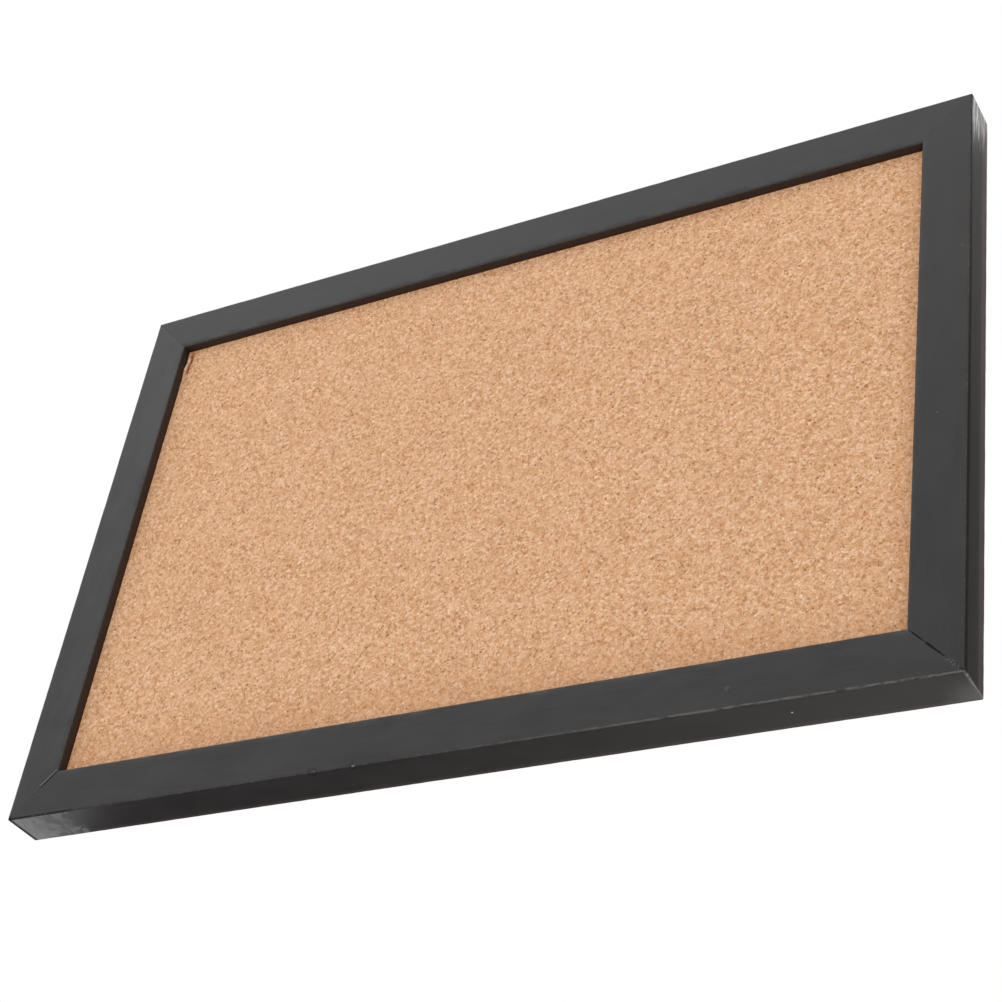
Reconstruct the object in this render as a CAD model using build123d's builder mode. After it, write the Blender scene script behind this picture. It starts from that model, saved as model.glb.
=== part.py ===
"""Framed cork bulletin board, hung from two D-rings.

Millimetres. X runs along the width, seen from the front. The front faces -Y and the back +Y, and +Z is up.
The origin is the centre of the board on the plane of the frame's back, which is the wall side.
"""

from build123d import *
import os
from math import asin, cos, degrees, radians, sin

# ---------------------------------------------------------------- driving dimensions
BOARD_WIDTH = 450.0
BOARD_HEIGHT = 300.0
FRAME_DEPTH = 20.5
FACE_WIDTH = 22.5  # width of the moulding, seen from the front
ARRIS_RADIUS = 0.8  # eased front edges of the moulding
BACK_ARRIS_RADIUS = 0.5

LIP_DEPTH = 5.0  # thickness of the moulding's front lip, so the cork sits this far back
REBATE_WIDTH = 8.5  # how far the lip overlaps the panels

CORK_THICKNESS = 3.0
CORE_THICKNESS = 6.0
BACKING_THICKNESS = 3.0
PANEL_CLEARANCE = 0.5  # gap between the panels and the rebate wall, per side

# V-nails, pressed from the back across each mitre
V_NAIL_THICKNESS = 0.5
V_NAIL_LEG = 4.0
V_NAIL_LENGTH = 10.0
V_NAIL_SINK = 0.4  # from the back of the frame down to the nail's end
V_NAIL_INSETS = (3.5, 8.5)  # from the outer faces of the corner to each nail's apex

# flat retaining points, which hold the panels in the rebate
POINT_WIDTH = 6.0
POINT_THICKNESS = 0.5
POINT_IN_WOOD = 6.0
POINT_OVER_PANEL = 8.0
POINT_HOLE_RADIUS = 1.0
POINT_PITCH = 130.0
POINTS_ON_LONG_SIDE = 3
POINTS_ON_SHORT_SIDE = 2

# D-ring hangers
HANGER_DROP = 62.0  # from the top of the frame down to the ring's pivot
HANGER_INSET = 8.6  # from the outer face of the stile to the strap's centre
STRIP_THICKNESS = 0.9
STRIP_WIDTH = 8.0
STRIP_GAP = 0.15  # between the two layers of the folded strip
LOOP_LEAVE_ANGLE = 50.0  # how far past level the strip follows the loop before it runs back down
STRAP_TAIL = 17.5  # from the pivot to the strap's end
STRAP_END_RADIUS = 3.5
WIRE_RADIUS = 1.0
RING_CLEARANCE = 0.05  # running clearance between the wire and the strap's loop
RING_HALF_WIDTH = 5.6  # to the centre of the wire
RING_REACH = 11.0  # from the pivot to the centre of the wire at the round end
RING_CORNER_RADIUS = 1.4
RING_REST_GAP = 0.1  # between the hanging ring and the screw's head

# pan-head screws through the hanger straps
SCREW_DROP = 12.0  # from the ring's pivot down to the screw
SHANK_RADIUS = 1.75
STRAP_HOLE_RADIUS = 1.9
HEAD_RADIUS = 3.2
HEAD_HEIGHT = 2.0
HEAD_ROUND = 1.2
SCREW_IN_WOOD = 10.0
SCREW_TIP_LENGTH = 3.0
SCREW_TIP_RADIUS = 0.2
CROSS_LENGTH = 3.4
CROSS_WIDTH = 0.8
CROSS_DEPTH = 1.2

# ---------------------------------------------------------------- worked-out dimensions
HALF_WIDTH = BOARD_WIDTH / 2
HALF_HEIGHT = BOARD_HEIGHT / 2
WALL_WIDTH = FACE_WIDTH - REBATE_WIDTH  # wood outside the rebate
OPENING_WIDTH = BOARD_WIDTH - 2 * WALL_WIDTH
OPENING_HEIGHT = BOARD_HEIGHT - 2 * WALL_WIDTH

# depths are measured from the back of the frame towards the front
CORK_FRONT = FRAME_DEPTH - LIP_DEPTH
CORE_FRONT = CORK_FRONT - CORK_THICKNESS
BACKING_FRONT = CORE_FRONT - CORE_THICKNESS
BACKING_BACK = BACKING_FRONT - BACKING_THICKNESS

LOOP_INNER_RADIUS = WIRE_RADIUS + RING_CLEARANCE
LOOP_OUTER_RADIUS = LOOP_INNER_RADIUS + STRIP_THICKNESS
PIVOT_OFF_BACK = LOOP_OUTER_RADIUS
STRAP_TOP = 2 * STRIP_THICKNESS + STRIP_GAP  # the folded strap's height off the frame
HANGER_X = HALF_WIDTH - HANGER_INSET
PIVOT_Z = HALF_HEIGHT - HANGER_DROP
SCREW_Z = PIVOT_Z - SCREW_DROP

# at rest the ring hangs down on the screw's head, so it leans this far off the frame
RING_REST_HEIGHT = STRAP_TOP + HEAD_HEIGHT + RING_REST_GAP + WIRE_RADIUS
RING_REST_ANGLE = degrees(asin((RING_REST_HEIGHT - PIVOT_OFF_BACK) / RING_REACH))

# Directions out of the board, along X and Z, for each side and each corner.
SIDES = {"right": (1, 0), "top": (0, 1), "left": (-1, 0), "bottom": (0, -1)}
SIDE_TURNS = {"right": 0, "top": 90, "left": 180, "bottom": 270}
CORNERS = {"top_left": (-1, 1), "top_right": (1, 1), "bottom_left": (-1, -1), "bottom_right": (1, -1)}
HANDS = {"left": -1, "right": 1}


def back_plane(depth=0.0):
    """The plane `depth` in front of the frame's back. A sketch on it extrudes towards the front."""
    return Plane.XZ.offset(depth)


def is_long(side):
    return side in ("top", "bottom")


def save(builder, name):
    """Labels a finished piece and writes its STEP file."""
    builder.part.label = name
    export_step(builder.part, f"parts/{name}.step")


# ---------------------------------------------------------------- outlines shared by a piece and its pocket
def draw_v_nails(corner):
    """Draws a corner's V-nails end on: each apex is on the mitre, and the legs run along the two rails."""
    sign_x, sign_z = CORNERS[corner]
    for inset in V_NAIL_INSETS:
        near = inset
        wall = inset + V_NAIL_THICKNESS
        far = inset + V_NAIL_LEG
        outline = [(near, near), (far, near), (far, wall), (wall, wall), (wall, far), (near, far)]
        Polygon(*[(sign_x * (HALF_WIDTH - x), sign_z * (HALF_HEIGHT - z)) for x, z in outline], align=None)


def draw_points(side):
    """Draws a side's retaining points: a sharp end in the wood, and a round end with a hole over the backing."""
    out_x, out_z = SIDES[side]
    wall = (OPENING_HEIGHT if is_long(side) else OPENING_WIDTH) / 2
    count = POINTS_ON_LONG_SIDE if is_long(side) else POINTS_ON_SHORT_SIDE
    half = POINT_WIDTH / 2
    round_centre = half - POINT_OVER_PANEL
    for index in range(count):
        along = POINT_PITCH * (index - (count - 1) / 2)
        place = Location(
            (out_x * wall - out_z * along, out_z * wall + out_x * along, 0),
            (0, 0, SIDE_TURNS[side]),
        )
        with Locations(place):
            Polygon(
                (round_centre, -half),
                (POINT_IN_WOOD - half, -half),
                (POINT_IN_WOOD, 0),
                (POINT_IN_WOOD - half, half),
                (round_centre, half),
                align=None,
            )
        with Locations(place * Location((round_centre, 0, 0))):
            Circle(half)
            Circle(POINT_HOLE_RADIUS, mode=Mode.SUBTRACT)


def screw_plane(x):
    """A plane through a hanger screw's axis: local x is the radius, and local y is the depth into the wood."""
    return Plane(origin=(x, 0, SCREW_Z), x_dir=(1, 0, 0), z_dir=(0, 0, -1))


def screw_axis(x):
    return Axis((x, 0, SCREW_Z), (0, 1, 0))


# ---------------------------------------------------------------- frame
def make_rail(side):
    """One length of rebated moulding, mitred at both ends, with pockets for its nails, points and screw."""
    out = Vector(SIDES[side][0], 0, SIDES[side][1])
    along = Vector(-out.Z, 0, out.X)
    half_length = HALF_WIDTH if is_long(side) else HALF_HEIGHT
    edge = out * (HALF_HEIGHT if is_long(side) else HALF_WIDTH)

    with BuildPart() as rail:
        with BuildSketch(Plane(origin=edge - along * half_length, x_dir=out, z_dir=along)) as section:
            with BuildLine():
                Polyline(
                    (0, 0),
                    (0, -FRAME_DEPTH),
                    (-FACE_WIDTH, -FRAME_DEPTH),
                    (-FACE_WIDTH, -CORK_FRONT),
                    (-WALL_WIDTH, -CORK_FRONT),
                    (-WALL_WIDTH, 0),
                    close=True,
                )
            make_face()
            fillet(section.vertices().group_by(Axis.Y)[0], ARRIS_RADIUS)
            fillet(section.vertices().sort_by_distance((0, 0, 0))[0], BACK_ARRIS_RADIUS)
        extrude(amount=2 * half_length)

        for direction in (along, -along):
            corner = edge + direction * half_length
            split(bisect_by=Plane(origin=corner, z_dir=direction - out), keep=Keep.BOTTOM)

        with BuildSketch(back_plane()):
            for corner, signs in CORNERS.items():
                if out.X == signs[0] or out.Z == signs[1]:
                    draw_v_nails(corner)
        extrude(amount=V_NAIL_SINK + V_NAIL_LENGTH, mode=Mode.SUBTRACT)

        with BuildSketch(back_plane(BACKING_BACK - POINT_THICKNESS)):
            draw_points(side)
        extrude(amount=POINT_THICKNESS, mode=Mode.SUBTRACT)

        if not is_long(side):
            hanger_x = HANDS[side] * HANGER_X
            with BuildSketch(screw_plane(hanger_x)):
                Polygon(
                    (0, 0),
                    (SHANK_RADIUS, 0),
                    (SHANK_RADIUS, SCREW_IN_WOOD - SCREW_TIP_LENGTH),
                    (SCREW_TIP_RADIUS, SCREW_IN_WOOD),
                    (0, SCREW_IN_WOOD),
                    align=None,
                )
            revolve(axis=screw_axis(hanger_x), mode=Mode.SUBTRACT)
    return rail


def make_v_nails(corner):
    with BuildPart() as nails:
        with BuildSketch(back_plane(V_NAIL_SINK)):
            draw_v_nails(corner)
        extrude(amount=V_NAIL_LENGTH)
    return nails


# ---------------------------------------------------------------- panels and what holds them
def make_panel(back_depth, thickness):
    """A sheet that fills the rebate, less its clearance."""
    with BuildPart() as panel:
        with BuildSketch(back_plane(back_depth)):
            Rectangle(OPENING_WIDTH - 2 * PANEL_CLEARANCE, OPENING_HEIGHT - 2 * PANEL_CLEARANCE)
        extrude(amount=thickness)
    return panel


def make_points(side):
    with BuildPart() as points:
        with BuildSketch(back_plane(BACKING_BACK - POINT_THICKNESS)):
            draw_points(side)
        extrude(amount=POINT_THICKNESS)
    return points


# ---------------------------------------------------------------- hangers
def leave_point(radius):
    """Where the strip leaves a circle of this radius round the pivot, as (off the frame, up from the pivot)."""
    angle = radians(LOOP_LEAVE_ANGLE)
    return (PIVOT_OFF_BACK + radius * cos(angle), -radius * sin(angle))


def bend_point(radius, height):
    """Where the strip, running straight on from its leave point, comes down to this height off the frame."""
    angle = radians(LOOP_LEAVE_ANGLE)
    off, up = leave_point(radius)
    run = (off - height) / sin(angle)
    return (height, up - run * cos(angle))


def make_strap(x):
    """A steel strip folded round the ring's bar, with both layers flat on the stile and a hole through them."""
    fold = 180 + LOOP_LEAVE_ANGLE
    pivot = (PIVOT_OFF_BACK, 0)
    second_layer = STRIP_THICKNESS + STRIP_GAP
    with BuildPart() as strap:
        side_view = Plane(origin=(x - STRIP_WIDTH / 2, 0, PIVOT_Z), x_dir=(0, 1, 0), z_dir=(1, 0, 0))
        with BuildSketch(side_view):
            with BuildLine():
                Line((0, -STRAP_TAIL), (0, 0))
                CenterArc(pivot, LOOP_OUTER_RADIUS, 180, -fold)
                Polyline(
                    leave_point(LOOP_OUTER_RADIUS),
                    bend_point(LOOP_OUTER_RADIUS, STRAP_TOP),
                    (STRAP_TOP, -STRAP_TAIL),
                    (second_layer, -STRAP_TAIL),
                    bend_point(LOOP_INNER_RADIUS, second_layer),
                    leave_point(LOOP_INNER_RADIUS),
                )
                CenterArc(pivot, LOOP_INNER_RADIUS, -LOOP_LEAVE_ANGLE, fold)
                Polyline((STRIP_THICKNESS, 0), (STRIP_THICKNESS, -STRAP_TAIL), (0, -STRAP_TAIL))
            make_face()
        extrude(amount=STRIP_WIDTH)
        fillet(strap.edges().filter_by(Axis.Y).group_by(Axis.Z)[0], STRAP_END_RADIUS)
        with BuildSketch(back_plane(-STRAP_TOP)):
            with Locations((x, SCREW_Z)):
                Circle(STRAP_HOLE_RADIUS)
        extrude(amount=STRAP_TOP, mode=Mode.SUBTRACT)
    return strap


def make_ring(x):
    """A D-shaped wire ring: its straight bar turns in the strap, and its round end hangs on the screw's head."""
    tilt = radians(RING_REST_ANGLE)
    ring_plane = Plane(origin=(x, PIVOT_OFF_BACK, PIVOT_Z), x_dir=(1, 0, 0), z_dir=(0, cos(tilt), sin(tilt)))
    bar_half = RING_HALF_WIDTH - RING_CORNER_RADIUS
    arch_start = RING_REACH - RING_HALF_WIDTH
    with BuildPart() as ring:
        with BuildLine(ring_plane) as path:
            Line((-bar_half, 0), (bar_half, 0))
            CenterArc((bar_half, RING_CORNER_RADIUS), RING_CORNER_RADIUS, 270, 90)
            Line((RING_HALF_WIDTH, RING_CORNER_RADIUS), (RING_HALF_WIDTH, arch_start))
            CenterArc((0, arch_start), RING_HALF_WIDTH, 0, 180)
            Line((-RING_HALF_WIDTH, arch_start), (-RING_HALF_WIDTH, RING_CORNER_RADIUS))
            CenterArc((-bar_half, RING_CORNER_RADIUS), RING_CORNER_RADIUS, 180, 90)
        with BuildSketch(Plane(origin=path.line @ 0, z_dir=path.line % 0)):
            Circle(WIRE_RADIUS)
        sweep(path=path.line)
    return ring


def make_screw(x):
    """A pan-head wood screw with a cross recess."""
    head_top = -(STRAP_TOP + HEAD_HEIGHT)
    with BuildPart() as screw:
        with BuildSketch(screw_plane(x)) as half_section:
            Polygon(
                (0, head_top),
                (HEAD_RADIUS, head_top),
                (HEAD_RADIUS, -STRAP_TOP),
                (SHANK_RADIUS, -STRAP_TOP),
                (SHANK_RADIUS, SCREW_IN_WOOD - SCREW_TIP_LENGTH),
                (SCREW_TIP_RADIUS, SCREW_IN_WOOD),
                (0, SCREW_IN_WOOD),
                align=None,
            )
            fillet(half_section.vertices().sort_by_distance((HEAD_RADIUS, head_top, 0))[0], HEAD_ROUND)
        revolve(axis=screw_axis(x))
        with BuildSketch(back_plane(head_top)):
            with Locations((x, SCREW_Z)):
                Rectangle(CROSS_LENGTH, CROSS_WIDTH)
                Rectangle(CROSS_WIDTH, CROSS_LENGTH)
        extrude(amount=CROSS_DEPTH, mode=Mode.SUBTRACT)
    return screw


# ---------------------------------------------------------------- the pieces
os.makedirs("parts", exist_ok=True)

RAIL_NAMES = {"top": "top_rail", "bottom": "bottom_rail", "left": "left_stile", "right": "right_stile"}
for side, name in RAIL_NAMES.items():
    save(make_rail(side), name)
    save(make_points(side), f"backing_points_{side}")

for corner in CORNERS:
    save(make_v_nails(corner), f"v_nails_{corner}")

save(make_panel(CORE_FRONT, CORK_THICKNESS), "cork_sheet")
save(make_panel(BACKING_FRONT, CORE_THICKNESS), "fibreboard_core")
save(make_panel(BACKING_BACK, BACKING_THICKNESS), "hardboard_backing")

for hand, sign in HANDS.items():
    save(make_strap(sign * HANGER_X), f"hanger_strap_{hand}")
    save(make_ring(sign * HANGER_X), f"d_ring_{hand}")
    save(make_screw(sign * HANGER_X), f"hanger_screw_{hand}")
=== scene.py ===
"""The looks of a framed cork bulletin board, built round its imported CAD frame.

Metres. X runs along the board's width seen from the front, the front faces -Y, and +Z is up.
"""

import functools
import math

import bmesh
import bpy
import numpy as np
from mathutils import Matrix, Vector


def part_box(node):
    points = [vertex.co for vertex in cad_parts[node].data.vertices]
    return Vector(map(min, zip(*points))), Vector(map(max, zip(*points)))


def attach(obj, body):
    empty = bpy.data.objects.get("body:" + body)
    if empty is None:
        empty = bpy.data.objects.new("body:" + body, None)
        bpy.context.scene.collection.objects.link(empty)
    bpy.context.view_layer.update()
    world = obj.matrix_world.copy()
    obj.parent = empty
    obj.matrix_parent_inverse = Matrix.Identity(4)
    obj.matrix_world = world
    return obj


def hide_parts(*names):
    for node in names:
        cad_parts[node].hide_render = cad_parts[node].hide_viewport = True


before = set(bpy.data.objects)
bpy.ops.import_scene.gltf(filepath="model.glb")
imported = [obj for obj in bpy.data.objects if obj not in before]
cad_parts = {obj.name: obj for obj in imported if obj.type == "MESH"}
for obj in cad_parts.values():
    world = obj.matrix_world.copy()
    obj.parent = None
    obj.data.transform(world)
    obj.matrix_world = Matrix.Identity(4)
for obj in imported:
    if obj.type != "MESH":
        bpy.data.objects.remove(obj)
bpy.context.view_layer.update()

MM = 0.001
SEED = 7
BOARD_BODY = "board"

# ---------------------------------------------------------------- sizes, from the CAD pieces
TOP_LOW, TOP_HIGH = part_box("top_rail")
BOTTOM_LOW, BOTTOM_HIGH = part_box("bottom_rail")
CORK_LOW, CORK_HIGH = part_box("cork_sheet")

WIDTH = TOP_HIGH.x - TOP_LOW.x
HALF_WIDTH = WIDTH / 2
HALF_HEIGHT = (TOP_HIGH.z - BOTTOM_LOW.z) / 2
FRONT_Y = TOP_LOW.y
FACE_WIDTH = TOP_HIGH.z - TOP_LOW.z
CORK_Y = CORK_LOW.y

GRANULE = 1.45 * MM  # the cork's larger granules
PANEL_GAP = 0.5 * MM  # between the panels and the rebate wall
WALL_WIDTH = CORK_LOW.x - PANEL_GAP + HALF_WIDTH  # wood outside the rebate
FRONT_ARRIS = 0.8 * MM
BACK_ARRIS = 0.5 * MM
CORNER_EASE = 0.6 * MM  # rounding of the four upright edges at the outer corners

WIRE_RADIUS = 1.0 * MM  # the D-rings' wire
RING_HALF_WIDTH = 5.6 * MM  # to the centre of the wire
RING_CORNER = 1.4 * MM

RIGHT = Vector((1, 0, 0))
UP = Vector((0, 0, 1))

# Each length of moulding: its outward and lengthwise directions, half its length, and its two corners.
RAILS = {
    "top_rail": (UP, RIGHT, HALF_WIDTH, HALF_HEIGHT, ("top_left", "top_right")),
    "bottom_rail": (-UP, RIGHT, HALF_WIDTH, HALF_HEIGHT, ("bottom_left", "bottom_right")),
    "left_stile": (-RIGHT, UP, HALF_HEIGHT, HALF_WIDTH, ("bottom_left", "top_left")),
    "right_stile": (RIGHT, UP, HALF_HEIGHT, HALF_WIDTH, ("bottom_right", "top_right")),
}

# Painted light and shade: each length lighter or darker as the light falls on it, the left stile lightest and
# the right stile darkest
RAIL_LIGHT_LEVELS = {"top_rail": 1.0, "bottom_rail": 1.15, "left_stile": 1.65, "right_stile": 0.72}

# Half the width of each corner's seam where it's closed
SEAMS = {"top_left": 0.08 * MM, "top_right": 0.03 * MM, "bottom_left": 0.06 * MM, "bottom_right": 0.05 * MM}

# Chips along the bottom rail's front arris: (place along the rail, half length, depth)
CHIPS = (
    (-64.5 * MM, 0.7 * MM, 0.16 * MM),
    (-57.3 * MM, 2.4 * MM, 0.34 * MM),
    (-37.1 * MM, 1.7 * MM, 0.42 * MM),
)


# ---------------------------------------------------------------- shader nodes
class Shader:
    """A material's or world's nodes: each short call adds a node and returns one of its outputs."""

    def __init__(self, owner):
        owner.use_nodes = True
        self.owner = owner
        self.tree = owner.node_tree

    def add(self, kind, inputs=None, output=0, **settings):
        node = self.tree.nodes.new("ShaderNode" + kind)
        for name, value in settings.items():
            setattr(node, name, value)
        for key, value in (inputs or {}).items():
            self.feed(node.inputs[key], value)
        return node.outputs[output]

    def feed(self, socket, value):
        if isinstance(value, bpy.types.NodeSocket):
            self.tree.links.new(value, socket)
        elif isinstance(value, tuple) and socket.type == "RGBA":
            socket.default_value = (*value, 1.0)
        else:
            socket.default_value = value

    def surface(self, **inputs):
        for name, value in inputs.items():
            self.feed(self.tree.nodes["Principled BSDF"].inputs[name.replace("_", " ")], value)

    def place(self):
        """Where a point is on the board, in metres."""
        return self.add("TexCoord", output="Object")

    def stored(self, name, output="Fac"):
        return self.add("Attribute", output=output, attribute_name=name, attribute_type="GEOMETRY")

    def split(self, vector):
        return self.add("SeparateXYZ", {0: vector}).node.outputs

    def stretch(self, vector, x, y, z):
        return self.add("VectorMath", {0: vector, 1: (x, y, z)}, operation="MULTIPLY")

    def math(self, operation, first, second=0.0, third=0.0):
        return self.add("Math", {0: first, 1: second, 2: third}, operation=operation)

    def times(self, first, second):
        return self.math("MULTIPLY", first, second)

    def more(self, value, factor, base):
        """base + factor * value"""
        return self.math("MULTIPLY_ADD", value, factor, base)

    def length(self, vector):
        return self.add("VectorMath", {0: vector}, output="Value", operation="LENGTH")

    def noise(self, vector, size, detail=2.0, roughness=0.5, output="Fac"):
        """Cloudy noise whose patches are about `size` across."""
        inputs = {"Vector": vector, "Scale": 1 / size, "Detail": detail, "Roughness": roughness}
        return self.add("TexNoise", inputs, output=output)

    def cells(self, vector, size, output="Distance", feature="F1"):
        """Random cells about `size` across."""
        inputs = {"Vector": vector, "Scale": 1 / size}
        return self.add("TexVoronoi", inputs, output=output, feature=feature)

    def fade(self, value, start, end, low=0.0, high=1.0):
        """Goes smoothly from low at start to high at end."""
        inputs = {"Value": value, "From Min": start, "From Max": end, "To Min": low, "To Max": high}
        return self.add("MapRange", inputs, interpolation_type="SMOOTHSTEP")

    def ramp(self, value, *stops):
        """A colour for each value: stops are (value, colour)."""
        output = self.add("ValToRGB", {0: value})
        elements = output.node.color_ramp.elements
        while len(elements) < len(stops):
            elements.new(0.5)
        for element, (position, colour) in zip(elements, stops):
            element.position = position
            element.color = (*colour, 1.0)
        return output

    def mix(self, factor, first, second):
        return self.add("Mix", {0: factor, 6: first, 7: second}, output=2, data_type="RGBA")

    def shade(self, colour, factor):
        """The colour times a number."""
        return self.add("VectorMath", {0: colour, "Scale": factor}, operation="SCALE")

    def near(self, vector, point, radius, soft=0.5):
        """1 close to a point, going to 0 at this radius."""
        inputs = {0: vector, 1: tuple(point)}
        distance = self.add("VectorMath", inputs, output="Value", operation="DISTANCE")
        return self.fade(distance, radius, radius * (1 - soft))

    def near_line(self, vector, point, across, radius, soft=0.5):
        """1 close to a straight line through a point. `across` is 0 along the line and 1 across it."""
        offset = self.add("VectorMath", {0: vector, 1: tuple(point)}, operation="SUBTRACT")
        distance = self.length(self.stretch(offset, *across))
        return self.fade(distance, radius, radius * (1 - soft))

    def product(self, *values):
        return functools.reduce(self.times, values)

    def most(self, *values):
        return functools.reduce(lambda first, second: self.math("MAXIMUM", first, second), values)

    def total(self, base, *terms):
        """base plus each term, a (value, factor)."""
        for value, factor in terms:
            base = self.more(value, factor, base)
        return base

    def warp(self, vector, size, amount, detail=2.0):
        """The vector pushed about by noise."""
        push = self.noise(vector, size, detail, output="Color")
        inputs = {0: push, 1: (amount, amount, amount), 2: vector}
        return self.add("VectorMath", inputs, operation="MULTIPLY_ADD")

    def window(self, value, start, end, rise, fall):
        """1 between start and end, rising and falling over these lengths."""
        return self.times(self.fade(value, start, start + rise), self.fade(value, end, end - fall))

    def bump(self, *layers):
        """The normal over layers of relief, each a (height, distance)."""
        below = {}
        for height, distance in layers:
            below = {"Normal": self.add("Bump", {"Height": height, "Distance": distance, **below})}
        return below["Normal"]


def new_material(name):
    return Shader(bpy.data.materials.new(name))


# ---------------------------------------------------------------- materials
def mitre_cracks(shader, place):
    """Masks of the lower corners' open mitres, of a painted highlight line beside one as of a raised lip, and
    of the flecks beside the other.
    """
    x, y, z = shader.split(place)
    front = shader.fade(y, FRONT_Y + 0.6 * MM, FRONT_Y + 0.2 * MM)
    shake = shader.noise(place, 0.8 * MM, 2)
    from_right = shader.more(x, -1.0, HALF_WIDTH)
    from_left = shader.math("ADD", x, HALF_WIDTH)
    from_below = shader.math("ADD", z, HALF_HEIGHT)

    def joint(from_side):
        """Distance past the mitre towards the stile, and distance in from the outer corner."""
        aside = shader.times(shader.math("SUBTRACT", from_below, from_side), 0.7071)
        inward = shader.times(shader.math("ADD", from_below, from_side), 0.5)
        return shader.more(shake, 0.8 * MM, shader.math("SUBTRACT", aside, 0.4 * MM)), inward

    def line(aside, half_width, soft=0.12 * MM):
        return shader.fade(shader.math("SUBTRACT", shader.math("ABSOLUTE", aside), half_width), soft, -soft)

    # lower right: two broken dashes, and specks of filler near the corner
    aside, inward = joint(from_right)
    taper = shader.fade(inward, 7.4 * MM, 14.6 * MM, 0.32 * MM, 0.62 * MM)
    long_part = shader.window(inward, 7.2 * MM, 15.2 * MM, 1.2 * MM, 0.5 * MM)
    long_dash = shader.times(line(aside, taper), long_part)
    short_dash = shader.window(inward, 16.5 * MM, 21.4 * MM, 0.5 * MM, 1.5 * MM)
    short_dash = shader.times(line(aside, 0.36 * MM), short_dash)
    end_dash = shader.window(inward, 0.4 * MM, 2.8 * MM, 0.3 * MM, 0.8 * MM)
    end_dash = shader.times(line(aside, 0.30 * MM), end_dash)
    grit = shader.fade(shader.noise(place, 0.9 * MM, 3), 0.54, 0.64)
    speckled = shader.window(inward, 1.2 * MM, 7.4 * MM, MM, MM)
    fleck = shader.product(grit, line(aside, 1.1 * MM, 0.7 * MM), speckled)

    # lower left: the inner half open, with a painted highlight line beside it on the stile, as of a raised
    # lip
    aside, inward = joint(from_left)
    inner_half = shader.window(inward, 14.4 * MM, 22.6 * MM, 0.8 * MM, 0.4 * MM)
    inner_crack = shader.times(line(aside, 0.46 * MM), inner_half)
    beside = shader.math("SUBTRACT", aside, 1.05 * MM)
    lip_highlight_line = shader.product(line(beside, 0.34 * MM), inner_half, shader.fade(shake, 0.30, 0.46))
    faint = shader.window(inward, 5.5 * MM, 14.5 * MM, 3 * MM, 1.0 * MM)
    faint = shader.product(line(beside, 0.2 * MM), faint, shader.fade(shake, 0.42, 0.60), 0.45)
    lip_highlight_line = shader.most(lip_highlight_line, faint)

    crack = shader.most(long_dash, short_dash, shader.times(end_dash, 0.7), inner_crack)
    crack = shader.times(crack, 0.76)
    return [shader.times(mask, front) for mask in (crack, lip_highlight_line, fleck)]


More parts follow.
